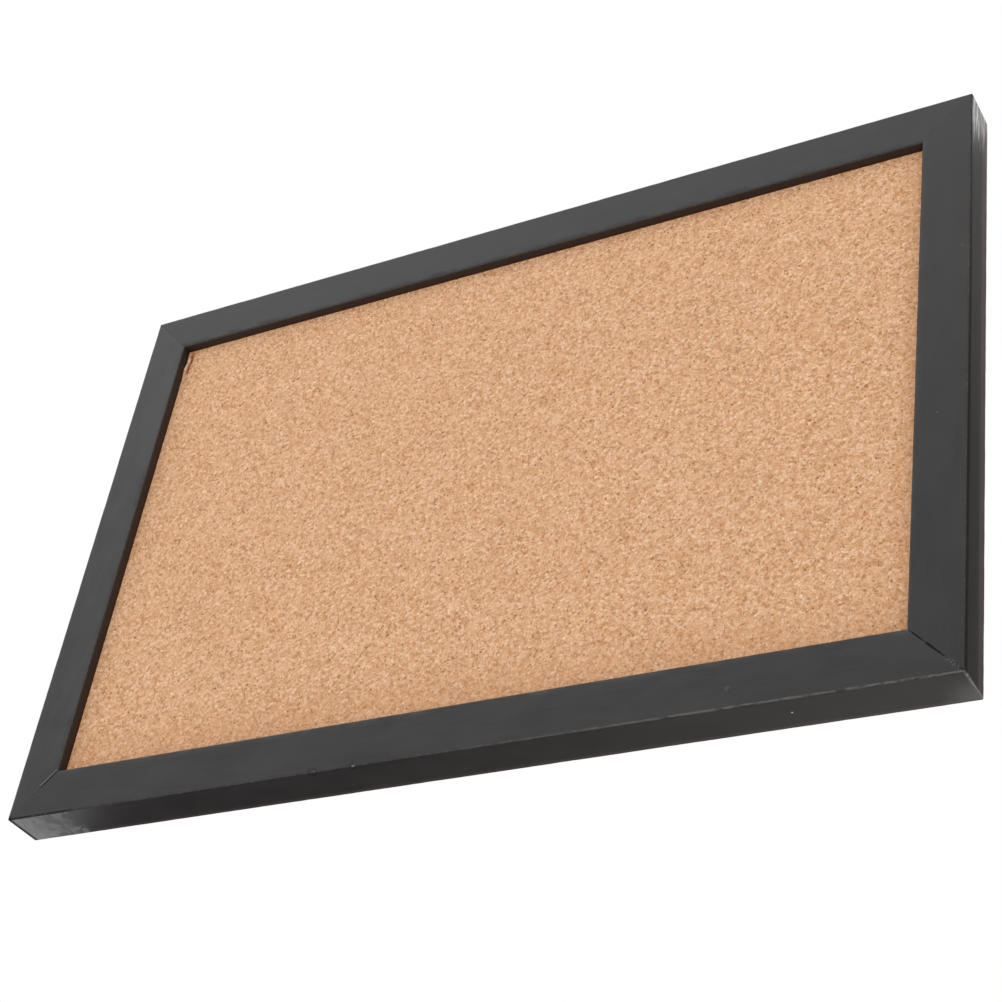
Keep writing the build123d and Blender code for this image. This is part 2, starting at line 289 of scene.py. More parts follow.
def satin_paint():
    """Satin black lacquer: drawn lengthwise, thin at the back edge, rubbed and scuffed at its corners, with
    painted light, shade and reflections on its lengths, arrises and reveal.
    """
    shader = new_material("satin_black_paint")
    place = shader.place()
    grain = shader.stored("grain", "Vector")
    inward, depth = shader.split(grain)[1:3]
    x, y, z = shader.split(place)
    right_side = shader.fade(x, HALF_WIDTH - 0.6 * MM, HALF_WIDTH - 0.2 * MM)
    under_side = shader.fade(z, -HALF_HEIGHT + 0.35 * MM, -HALF_HEIGHT + 0.05 * MM)

    # lacquer drawn along the moulding, with faint clouds and fine orange peel
    drawn = shader.noise(shader.stretch(grain, 0.03, 1, 1), 0.9 * MM, 3)
    fine = shader.noise(shader.stretch(grain, 0.12, 1, 1), 0.35 * MM, 2)
    clouds = shader.noise(shader.stretch(grain, 0.5, 1, 1), 14 * MM, 4, 0.6)
    peel = shader.noise(place, 0.5 * MM, 2)
    base = shader.mix(shader.fade(clouds, 0.3, 0.7), (0.0074, 0.0060, 0.0066), (0.0160, 0.0138, 0.0146))
    base = shader.mix(shader.fade(drawn, 0.35, 0.75, 0.0, 0.35), base, (0.0205, 0.0180, 0.0186))
    # painted light and shade: each length lighter or darker by how the light falls on it
    base = shader.shade(base, shader.stored("rail_light"))

    # the colour thins to brown along the back edge of the outer faces, furthest on the right
    outer_face = shader.fade(inward, 1.2 * MM, 0.3 * MM)
    ragged = shader.noise(shader.stretch(grain, 0.25, 1, 1), 1.1 * MM, 4)
    rim_depth = shader.more(ragged, 1.6 * MM, depth)
    rim_depth = shader.more(right_side, 4.2 * MM, rim_depth)
    thin = shader.more(right_side, 0.6, 0.4)
    rim = shader.product(shader.fade(rim_depth, -2.4 * MM, -0.2 * MM), outer_face, thin)
    base = shader.mix(rim, base, (0.092, 0.056, 0.060))
    # painted light: the right face lighter towards its back
    right_face_rear_light = shader.product(shader.fade(depth, FRONT_Y + 3 * MM, -4 * MM), outer_face, right_side)
    base = shader.mix(shader.times(right_face_rear_light, 0.45), base, (0.034, 0.032, 0.028))

    # painted bounce light from the cork on the lip's reveal walls: brown, a little different on the top rail,
    # where it starts past the arris, and reddest at their foot by the cork
    reveal = shader.fade(inward, FACE_WIDTH - 0.7 * MM, FACE_WIDTH - 0.1 * MM)
    past_arris = shader.fade(depth, FRONT_Y + 0.5 * MM, FRONT_Y + 1.1 * MM)
    along_top = shader.fade(z, HALF_HEIGHT - FACE_WIDTH - 3 * MM, HALF_HEIGHT - FACE_WIDTH)
    reveal = shader.times(reveal, shader.mix(along_top, (1.0, 1.0, 1.0), past_arris))
    bounce_tone = shader.mix(along_top, (0.032, 0.0235, 0.0195), (0.033, 0.0235, 0.0225))
    base = shader.mix(shader.times(reveal, 0.9), base, bounce_tone)
    # painted bounce light, reddest at the foot of the reveal
    foot = shader.times(reveal, shader.fade(depth, CORK_Y - 1.9 * MM, CORK_Y - 0.4 * MM))
    base = shader.mix(foot, base, (0.046, 0.0115, 0.0015))

    # and a warm brown tint along the inner arris
    inner_arris = shader.window(inward, FACE_WIDTH - 0.9 * MM, FACE_WIDTH + 0.6 * MM, 0.6 * MM, 0.1 * MM)
    inner_arris = shader.product(inner_arris, shader.fade(depth, FRONT_Y + 1.0 * MM, FRONT_Y + 0.5 * MM))
    base = shader.mix(shader.times(inner_arris, 0.5), base, (0.040, 0.022, 0.014))

    # rubbed arrises lightly all over; and painted highlights, partly lacquer rubbed through, along the bottom
    # front arris towards the lower right corner and up that corner's upright edge
    edge = shader.stored("edge")
    rubbed = shader.fade(shader.noise(shader.stretch(grain, 0.4, 1, 1), 0.8 * MM, 4), 0.52, 0.66)
    wear = shader.times(edge, rubbed)
    base = shader.mix(shader.times(wear, 0.5), base, (0.060, 0.055, 0.053))
    highlight_breakup = shader.noise(shader.stretch(place, 0.35, 1, 1), 1.6 * MM, 4, 0.65)
    front_line = shader.near_line(place, (0, FRONT_Y, -HALF_HEIGHT), (0, 1, 1), 1.0 * MM, 0.6)
    rightwards = shader.fade(x, 5 * MM, 150 * MM, 0.25, 1.0)
    started = shader.fade(x, -25 * MM, 30 * MM)
    front_arris_highlight = shader.product(front_line, rightwards, started, shader.fade(highlight_breakup, 0.30, 0.55))
    upright_line = shader.near_line(place, (HALF_WIDTH, 0, -HALF_HEIGHT), (1, 0, 1), 1.05 * MM, 0.7)
    upright_edge_highlight = shader.product(upright_line, shader.fade(highlight_breakup, 0.30, 0.52))
    # painted highlights on these two arrises, partly rubbed lacquer
    base = shader.mix(shader.times(front_arris_highlight, 0.85), base, (0.115, 0.114, 0.110))
    base = shader.mix(upright_edge_highlight, base, (0.220, 0.218, 0.208))

    # painted shade: dark lines along some arrises where they mirror the dim surround, with the lacquer dulled
    # there too
    dark_line_breakup = shader.fade(shader.noise(shader.stretch(place, 0.6, 1, 1), 0.9 * MM, 3), 0.30, 0.48)
    left_line = shader.near_line(place, (0, FRONT_Y, -HALF_HEIGHT), (0, 1, 1), 0.85 * MM, 0.5)
    left_line = shader.product(left_line, dark_line_breakup, 0.85)
    leftmost = shader.fade(x, -HALF_WIDTH + 46 * MM, -HALF_WIDTH + 30 * MM)
    lower_left_line = shader.near_line(place, (-HALF_WIDTH, 0, -HALF_HEIGHT), (1, 0, 1), 2.8 * MM, 0.5)
    upper_right_line = shader.near_line(place, (HALF_WIDTH, 0, HALF_HEIGHT), (1, 0, 1), 1.0 * MM, 0.35)
    right_line = shader.near_line(place, (HALF_WIDTH, FRONT_Y, 0), (1, 1, 0), 3.4 * MM, 0.75)
    right_line = shader.product(right_line, right_side, shader.fade(z, 140 * MM, -60 * MM, 0.08, 0.75))
    left_line = shader.times(left_line, leftmost)
    dull_shaded_arris = shader.most(left_line, lower_left_line, upper_right_line, right_line)
    # painted shade along these arrises
    base = shader.mix(dull_shaded_arris, base, (0.010, 0.010, 0.009))

    # a pale patch under the lower left corner: a painted reflection, brighter towards the corner, over
    # scuffed dull lacquer
    swirl_at = shader.warp(place, 9 * MM, 12 * MM)
    swirl = shader.noise(shader.stretch(swirl_at, 1, 0.45, 1), 4.5 * MM, 5, 0.6)
    patch_end = shader.more(swirl, -26 * MM, x)
    patch = shader.fade(patch_end, -HALF_WIDTH + 21 * MM, -HALF_WIDTH + 15 * MM)
    inside = shader.fade(y, FRONT_Y + 0.6 * MM, FRONT_Y + 1.3 * MM)
    clear_of_dark_arris = shader.math("SUBTRACT", 1.0, dull_shaded_arris)
    patch = shader.product(patch, under_side, inside, clear_of_dark_arris)
    blotched = shader.fade(x, -HALF_WIDTH + 4 * MM, -HALF_WIDTH + 20 * MM, 0.25, 0.85)
    blotched = shader.times(blotched, shader.fade(swirl, 0.58, 0.40))
    reflection_scuff_tone = shader.mix(blotched, (0.156, 0.156, 0.158), (0.074, 0.074, 0.076))
    reflection_scuff_tone = shader.shade(reflection_scuff_tone, shader.fade(x, -HALF_WIDTH + 24 * MM, -HALF_WIDTH, 1.0, 1.38))
    # painted reflection on the scuffed patch
    base = shader.mix(shader.times(patch, 0.9), base, reflection_scuff_tone)

    # pale streaks at the top of the right side: a painted reflection along dry drawn streaks in the lacquer
    streak = shader.noise(shader.stretch(grain, 0.07, 1, 1), 1.3 * MM, 3, 0.6)
    ragged_top = shader.more(streak, 34 * MM, z)
    upper = shader.fade(ragged_top, HALF_HEIGHT - 12 * MM, HALF_HEIGHT + 12 * MM)
    streak_reflection = shader.product(upper, right_side, shader.fade(streak, 0.50, 0.60), clear_of_dark_arris)
    rear_less = shader.fade(depth, -1 * MM, -9 * MM, 0.35, 0.95)
    # painted reflection, weaker towards the back
    base = shader.mix(shader.times(streak_reflection, rear_less), base, (0.490, 0.488, 0.488))
    missed = shader.product(shader.fade(streak, 0.47, 0.40), right_side, shader.fade(z, 100 * MM, 130 * MM))

    # a soft lighter patch under the lower right corner, towards the back
    pale_patch_lower_right = shader.near(place, (HALF_WIDTH, -2 * MM, -HALF_HEIGHT), 17 * MM, 0.95)
    pale_patch_lower_right = shader.product(pale_patch_lower_right, under_side, shader.fade(swirl, 0.30, 0.55, 0.55, 1.0))
    base = shader.mix(shader.times(pale_patch_lower_right, 0.85), base, (0.100, 0.100, 0.097))

    # chips: small pale flecks of bare wood in a dark break
    chip = shader.stored("chip")
    crumbs = shader.noise(shader.stretch(place, 0.8, 1, 1), 0.7 * MM, 3, 0.65)
    torn = shader.more(crumbs, 1.6, chip)
    base = shader.mix(shader.fade(torn, 0.98, 1.25), base, (0.005, 0.005, 0.005))
    bare = shader.fade(torn, 1.74, 1.94)
    base = shader.mix(bare, base, (0.250, 0.245, 0.235))

    # open mitres at the two lower corners
    crack, lip_highlight_line, fleck = mitre_cracks(shader, place)
    # painted highlight of a raised lip beside the lower left mitre
    base = shader.mix(lip_highlight_line, base, (0.105, 0.105, 0.103))
    base = shader.mix(shader.times(fleck, 0.8), base, (0.110, 0.110, 0.108))
    base = shader.mix(crack, base, (0.004, 0.004, 0.004))

    # dust
    specks = (
        ((154.7 * MM, FRONT_Y + 9.6 * MM, -HALF_HEIGHT), 0.5 * MM, 0.75),
        ((212.2 * MM, FRONT_Y, -27.3 * MM), 0.4 * MM, 0.10),
        ((221.4 * MM, FRONT_Y, 59.5 * MM), 0.4 * MM, 0.10),
        ((131.4 * MM, FRONT_Y, -141.0 * MM), 1.3 * MM, 0.035),
    )
    for point, radius, strength in specks:
        speck = shader.times(shader.near(place, point, radius), strength)
        base = shader.mix(speck, base, (0.8, 0.8, 0.8))
    dust = shader.fade(shader.cells(place, 7 * MM), 0.022, 0.012)
    base = shader.mix(shader.times(dust, 0.25), base, (0.6, 0.58, 0.55))

    sheen = shader.total(0.20, (clouds, 0.10), (drawn, 0.16), (reveal, 0.25))
    sheen = shader.total(sheen, (patch, 0.22), (bare, 0.4), (dull_shaded_arris, 0.35))
    gloss = shader.total(0.5, (reveal, -0.3), (dull_shaded_arris, -0.36), (crack, -0.40), (missed, -0.34))
    gloss = shader.most(gloss, 0.08)

    normal = shader.bump((drawn, 0.020 * MM), (fine, 0.008 * MM), (peel, 0.005 * MM), (chip, -0.10 * MM))
    shader.surface(Base_Color=base, Roughness=sheen, Specular_IOR_Level=gloss, Normal=normal)
    return shader.owner


def bare_wood():
    """The moulding's unpainted back: straight-grained pale wood with overspray along its outer edge."""
    shader = new_material("bare_moulding_wood")
    grain = shader.stored("grain", "Vector")
    inward, depth = shader.split(grain)[1:3]
    sway = shader.noise(shader.stretch(grain, 0.10, 1, 1), 11 * MM, 2)
    ring_place = shader.more(sway, 16 * MM, shader.more(depth, 0.7, inward))
    rings = shader.math("FRACT", shader.times(ring_place, 1 / (3.1 * MM)))
    late = shader.times(shader.fade(rings, 0.35, 0.9), shader.fade(rings, 1.0, 0.93))
    fibres = shader.noise(shader.stretch(grain, 0.02, 1, 1), 0.22 * MM, 4, 0.6)
    pores = shader.fade(shader.noise(shader.stretch(grain, 0.06, 1, 1), 0.28 * MM, 2), 0.66, 0.74)
    stain = shader.noise(shader.stretch(grain, 0.3, 1, 1), 30 * MM, 3)

    wood = shader.mix(late, (0.47, 0.315, 0.185), (0.33, 0.185, 0.090))
    wood = shader.mix(shader.fade(fibres, 0.3, 0.75, 0.0, 0.45), wood, (0.60, 0.44, 0.29))
    wood = shader.mix(shader.times(pores, 0.5), wood, (0.15, 0.075, 0.035))
    wood = shader.mix(shader.fade(stain, 0.45, 0.8, 0.0, 0.35), wood, (0.24, 0.14, 0.075))
    mist = shader.noise(shader.stretch(grain, 0.35, 1, 1), 1.3 * MM, 5, 0.7)
    spray = shader.more(mist, -3.6 * MM, inward)
    overspray = shader.fade(spray, 0.6 * MM, -1.4 * MM)
    wood = shader.mix(overspray, wood, (0.018, 0.016, 0.015))

    # the closed mitres
    x, _, z = shader.split(shader.place())
    across = shader.math("SUBTRACT", shader.math("ABSOLUTE", x), shader.math("ABSOLUTE", z))
    mitre = shader.math("ABSOLUTE", shader.math("SUBTRACT", across, HALF_WIDTH - HALF_HEIGHT))
    joint = shader.fade(mitre, 0.22 * MM, 0.08 * MM, 0.0, 0.8)
    wood = shader.mix(joint, wood, (0.10, 0.055, 0.030))

    rough = shader.more(fibres, 0.18, 0.58)
    normal = shader.bump((fibres, 0.06 * MM), (pores, -0.05 * MM))
    shader.surface(Base_Color=wood, Roughness=rough, Specular_IOR_Level=0.35, Normal=normal)
    return shader.owner


def cork_granules():
    """Pressed granulated cork: tan granules of about 1.5 mm with brown bark specks and pale flecks, painted
    shade between granules and along the bottom, and painted light under the lips and on the torn lip.
    """
    shader = new_material("granulated_cork")
    place = shader.place()
    x, y, z = shader.split(place)
    bent = shader.warp(place, 1.1 * MM, 0.9 * MM)
    crumpled = shader.warp(place, 1.3 * MM, 2.2 * MM, 3)

    # granules: each has its own tone
    tone, hue, kind = shader.split(shader.cells(bent, GRANULE, "Color"))
    small_tone = shader.split(shader.cells(bent, 0.8 * MM, "Color"))[0]
    seam = shader.fade(shader.cells(bent, GRANULE, "Distance", "DISTANCE_TO_EDGE"), 0.10, 0.0)
    body = shader.ramp(
        tone,
        (0.00, (0.535, 0.243, 0.098)),
        (0.12, (0.660, 0.342, 0.165)),
        (0.40, (0.778, 0.441, 0.241)),
        (0.75, (0.858, 0.516, 0.307)),
        (1.00, (0.953, 0.630, 0.420)),
    )
    small = shader.mix(small_tone, (0.555, 0.275, 0.118), (0.980, 0.650, 0.435))
    cork = shader.mix(0.36, body, small)
    cork = shader.mix(shader.fade(hue, 0.86, 0.97, 0.0, 0.28), cork, (0.74, 0.33, 0.135))
    cork = shader.mix(shader.fade(kind, 0.93, 0.98, 0.0, 0.45), cork, (0.93, 0.70, 0.50))
    # painted shade in the gaps between granules, with some darker binder
    cork = shader.mix(shader.times(seam, 0.42), cork, (0.40, 0.190, 0.080))

    # soft bark specks, small dark crumbs and thin cracks
    speck_pick = shader.split(shader.cells(crumpled, 1.5 * MM, "Color"))[1]
    speck_shape = shader.fade(shader.cells(crumpled, 1.5 * MM), 0.66, 0.28)
    speck = shader.times(shader.fade(speck_pick, 0.84, 0.89), speck_shape)
    cork = shader.mix(shader.times(speck, 0.84), cork, (0.200, 0.062, 0.008))
    blot = shader.fade(shader.noise(crumpled, 1.8 * MM, 3, 0.6), 0.55, 0.68)
    cork = shader.mix(shader.times(blot, 0.56), cork, (0.345, 0.142, 0.044))
    crumb = shader.fade(shader.noise(shader.stretch(place, 1, 1, 0.8), 1.15 * MM, 2, 0.6), 0.62, 0.72)
    cork = shader.mix(shader.times(crumb, 0.60), cork, (0.240, 0.080, 0.012))
    pale = shader.fade(shader.noise(shader.stretch(crumpled, 1, 1, 0.6), 1.1 * MM, 2, 0.6), 0.62, 0.72)
    cork = shader.mix(shader.times(pale, 0.55), cork, (0.98, 0.74, 0.53))
    crack_bent = shader.warp(place, 5 * MM, 6 * MM, 3)
    crack_edge = shader.cells(crack_bent, 8 * MM, "Distance", "DISTANCE_TO_EDGE")
    crack_some = shader.fade(shader.noise(place, 6 * MM, 2), 0.60, 0.68)
    crack = shader.times(shader.fade(crack_edge, 0.030, 0.008), crack_some)
    cork = shader.mix(shader.times(crack, 0.5), cork, (0.25, 0.105, 0.045))

    # slow change of tone over the sheet; painted shade darker along the bottom, painted light a little
    # brighter at the top and just under the top and left lips; more saturated along the bottom and right edge
    clouds = shader.noise(place, 45 * MM, 2)
    low = shader.fade(z, -95 * MM, -130 * MM)
    high = shader.fade(z, 95 * MM, 125 * MM)
    right = shader.fade(x, 190 * MM, 204 * MM)
    from_left = shader.math("ADD", x, HALF_WIDTH - FACE_WIDTH)
    from_top = shader.math("SUBTRACT", HALF_HEIGHT - FACE_WIDTH, z)
    under_lip_light = shader.fade(shader.math("MINIMUM", from_left, from_top), 3.0 * MM, 0.3 * MM)
    level = shader.total(0.995, (clouds, 0.05), (low, -0.06), (high, 0.02), (under_lip_light, 0.14))
    cork = shader.shade(cork, level)
    lowest = shader.fade(z, -98 * MM, -124 * MM, 0.0, 0.22)
    tinted = shader.most(lowest, shader.times(right, 0.30))
    cork = shader.mix(tinted, cork, (0.66, 0.31, 0.14))

    # the sliver torn up at the top left corner
    lip = shader.stored("sliver")
    tear = shader.stored("tear")
    # the lifted lip is pale pink, partly a painted highlight where it lifts
    lip_tone = shader.mix(shader.fade(small_tone, 0.3, 0.7), (0.66, 0.26, 0.14), (1.00, 0.76, 0.62))
    cork = shader.mix(shader.times(lip, 0.8), cork, lip_tone)
    tear_tone = shader.mix(shader.fade(small_tone, 0.2, 0.8), (0.20, 0.045, 0.012), (0.46, 0.140, 0.045))
    cork = shader.mix(tear, cork, tear_tone)

    cut_edge = shader.fade(y, CORK_Y + 0.25 * MM, CORK_Y + 0.5 * MM)
    cork = shader.mix(shader.times(cut_edge, 0.35), cork, (0.45, 0.24, 0.12))

    rough = shader.more(tone, 0.14, 0.74)
    grit = shader.noise(place, 0.35 * MM, 3, 0.6)
    domes = shader.cells(bent, GRANULE)
    normal = shader.bump((domes, -0.10 * MM), (tone, 0.05 * MM), (grit, 0.05 * MM), (crack, -0.05 * MM))
    shader.surface(Base_Color=cork, Roughness=rough, Specular_IOR_Level=0.10, Normal=normal)
    return shader.owner


def soft_fibreboard():
    """Soft insulation board: matted grey-brown wood fibre."""
    shader = new_material("soft_fibreboard")
    place = shader.place()
    mat = shader.noise(place, 2.2 * MM, 6, 0.7)
    fibre = shader.noise(shader.stretch(place, 1, 6, 0.5), 0.6 * MM, 4, 0.65)
    colour = shader.mix(shader.fade(mat, 0.3, 0.7), (0.27, 0.195, 0.125), (0.43, 0.335, 0.235))
    colour = shader.mix(shader.fade(fibre, 0.5, 0.75, 0.0, 0.5), colour, (0.56, 0.46, 0.34))
    rough = shader.more(mat, 0.15, 0.82)
    normal = shader.bump((shader.math("ADD", mat, fibre), 0.25 * MM))
    shader.surface(Base_Color=colour, Roughness=rough, Specular_IOR_Level=0.15, Normal=normal)
    return shader.owner


def screen_back_hardboard():
    """Hardboard, screen side out: dark brown pressed fibre with the weave of the press's wire screen."""
    shader = new_material("screen_back_hardboard")
    place = shader.place()
    x, _, z = shader.split(place)
    pitch = 1.35 * MM
    wires = [
        shader.math("SINE", shader.times(coordinate, 2 * math.pi / pitch))
        for coordinate in (x, z)
    ]
    screen = shader.times(wires[0], wires[1])
    weave = shader.more(screen, 0.5, 0.5)
    fibre = shader.noise(shader.stretch(place, 0.6, 1, 1), 0.7 * MM, 5, 0.7)
    flecks = shader.fade(shader.noise(shader.stretch(place, 0.35, 1, 1), 0.8 * MM, 3, 0.6), 0.60, 0.72)
    clouds = shader.noise(place, 55 * MM, 4)
    colour = shader.mix(fibre, (0.135, 0.062, 0.028), (0.255, 0.135, 0.068))
    colour = shader.mix(shader.times(flecks, 0.5), colour, (0.36, 0.22, 0.125))
    colour = shader.mix(shader.fade(clouds, 0.35, 0.75, 0.0, 0.4), colour, (0.115, 0.052, 0.025))
    colour = shader.mix(shader.fade(weave, 0.55, 0.1, 0.0, 0.35), colour, (0.085, 0.038, 0.018))
    rough = shader.more(fibre, 0.22, 0.48)
    normal = shader.bump((weave, 0.14 * MM), (fibre, 0.07 * MM))
    shader.surface(Base_Color=colour, Roughness=rough, Specular_IOR_Level=0.4, Normal=normal)
    return shader.owner


def steel(name, light, dark, roughness, lengthwise, scratch=0.015 * MM):
    """Plated or rolled steel: mottled sheen, drawn scratches and a little tarnish."""
    shader = new_material(name)
    place = shader.place()
    mottle = shader.noise(place, 2.4 * MM, 4, 0.6)
    drawn = shader.noise(shader.stretch(place, *lengthwise), 0.16 * MM, 3)
    tarnish = shader.fade(shader.noise(place, 5 * MM, 5, 0.65), 0.55, 0.75, 0.0, 0.55)
    colour = shader.mix(mottle, light, dark)
    colour = shader.mix(tarnish, colour, tuple(0.55 * c for c in dark))
    rough = shader.more(mottle, 0.16, roughness)
    rough = shader.more(tarnish, 0.2, rough)
    normal = shader.bump((drawn, scratch), (mottle, 0.03 * MM))
    shader.surface(Base_Color=colour, Metallic=1.0, Roughness=rough, Normal=normal)
    return shader.owner


# ---------------------------------------------------------------- meshes
def tube_faces(stations, count, closed=False):
    """Quads between neighbouring loops of points, and from the last loop back to the first if closed."""
    faces = []
    for station in range(stations if closed else stations - 1):
        start = station * count
        after = (station + 1) % stations * count
        for k in range(count):
            beside = (k + 1) % count
            faces.append((start + k, start + beside, after + beside, after + k))
    return faces


def make_piece(name, points, faces, materials, body=BOARD_BODY):
    """A piece from its points and faces, that moves with a body."""
    mesh = bpy.data.meshes.new(name)
    mesh.from_pydata([tuple(point) for point in points], [], faces)
    piece = bpy.data.objects.new(name, mesh)
    bpy.context.scene.collection.objects.link(piece)
    for material in materials:
        mesh.materials.append(material)
    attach(piece, body)
    return piece


def stand_in(piece, node, sharp=60):
    """Smooths a piece, but for edges sharper than this many degrees, and puts it in a CAD node's place."""
    mesh = piece.data
    work = bmesh.new()
    work.from_mesh(mesh)
    bmesh.ops.recalc_face_normals(work, faces=work.faces)
    work.to_mesh(mesh)
    work.free()
    mesh.shade_smooth()
    mesh.set_sharp_from_angle(angle=math.radians(sharp))
    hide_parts(node)


def store(mesh, name, kind, values):
    """Keeps a value or a vector for each of a mesh's points."""
    attribute = mesh.attributes.new(name, kind, "POINT")
    field = "vector" if kind == "FLOAT_VECTOR" else "value"
    attribute.data.foreach_set(field, np.asarray(values, dtype=np.float32).ravel())


def wander(rng, places, spacing, amount):
    """A seeded random wander along a line, about `amount` either way, with bends `spacing` apart."""
    knots = np.arange(places.min() - spacing, places.max() + 2 * spacing, spacing)
    return np.interp(places, knots, rng.uniform(-amount, amount, len(knots)))


# ---------------------------------------------------------------- moulding
def moulding_outline():
    """The moulding's section: points (inward from the outer face, y), with how far each is on an arris."""

    def arc(centre, radius, start, end, steps):
        angles = np.radians(np.linspace(start, end, steps + 1))
        return [(centre[0] + radius * math.cos(a), centre[1] + radius * math.sin(a), 1.0) for a in angles]

    def span(start, end, *parts):
        """Points on the flat between two places, at these parts of the way."""
        return [(start[0] + (end[0] - start[0]) * p, start[1] + (end[1] - start[1]) * p, 0.0) for p in parts]

    even = np.linspace(0, 1, 9)[1:-1]
    near_front = 1 - np.array([1.8, 1.4, 1.0, 0.7, 0.45, 0.2]) / 19.2
    near_arris = np.array([0.2, 0.45, 0.7, 1.0, 1.4, 1.9]) / 20.4
    outline = arc((BACK_ARRIS, -BACK_ARRIS), BACK_ARRIS, 90, 180, 4)
    outer_back = (0, -BACK_ARRIS)
    outer_front = (0, FRONT_Y + FRONT_ARRIS)
    outline += span(outer_back, outer_front, 0.01, *even, *near_front)
    outline += arc((FRONT_ARRIS, FRONT_Y + FRONT_ARRIS), FRONT_ARRIS, 180, 270, 8)
    face_start = (FRONT_ARRIS, FRONT_Y)
    face_end = (FACE_WIDTH - FRONT_ARRIS, FRONT_Y)
    outline += span(face_start, face_end, *near_arris, *even[1:], 0.99)
    outline += arc((FACE_WIDTH - FRONT_ARRIS, FRONT_Y + FRONT_ARRIS), FRONT_ARRIS, 270, 360, 8)
    lip_front = (FACE_WIDTH, FRONT_Y + FRONT_ARRIS)
    lip_back = (FACE_WIDTH, CORK_Y)
    outline += span(lip_front, lip_back, 0.05, 0.5, 0.95, 1.0)
    painted = len(outline)
    outline += span(lip_back, (WALL_WIDTH, CORK_Y), 0.5, 1.0)
    outline += span((WALL_WIDTH, CORK_Y), (WALL_WIDTH, 0), 0.33, 0.66, 1.0)
    outline += span((WALL_WIDTH, 0), (BACK_ARRIS, 0), 0.25, 0.5, 0.75, 0.99)
    return np.array(outline), painted


def rail_stations(half_length, fine_places):
    """Places along a rail as parts of its half length: close at the mitres and at the chips."""
    from_mitre = np.array([0, 0.06, 0.12, 0.20, 0.30, 0.42, 0.55, 0.75, 1.0, 1.4, 2.0, 2.8]) * MM
    middle = np.arange(from_mitre[-1] + 1.1 * MM, half_length, 1.3 * MM)
    from_end = np.concatenate([from_mitre, middle])
    places = np.concatenate([from_end - half_length, half_length - from_end])
    for place, reach in fine_places:
        places = np.concatenate([places, np.arange(place - reach, place + reach, 0.22 * MM)])
    places = np.unique(np.round(places, 6))
    keep = np.concatenate([[True], np.diff(places) > 0.04 * MM])
    return places[keep] / half_length


def mitre_seam(corner, inward):
    """Half the width of a corner's open seam, for each distance in from the outer face."""
    seam = np.full_like(inward, SEAMS[corner])
    if corner.startswith("bottom"):
        open_part = np.clip((inward - 6 * MM) / (4 * MM), 0, 1)
        seam += 0.12 * MM * open_part
    return seam


def chip_depths(rng, along, arris_offset):
    """How deep the chips go at each point, and how much of each point is broken away."""
    depth = np.zeros_like(along)
    broken = np.zeros_like(along)
    for place, half, deep in CHIPS:
        reach = np.hypot((along - place) / half, arris_offset / min(1.1 * half, 1.5 * MM))
        ragged = reach + rng.uniform(-0.22, 0.22, along.shape)
        inside = np.clip(1.25 - ragged, 0, 1)
        depth = np.maximum(depth, deep * inside)
        broken = np.maximum(broken, np.clip(inside * 1.2, 0, 1))
    return depth, broken


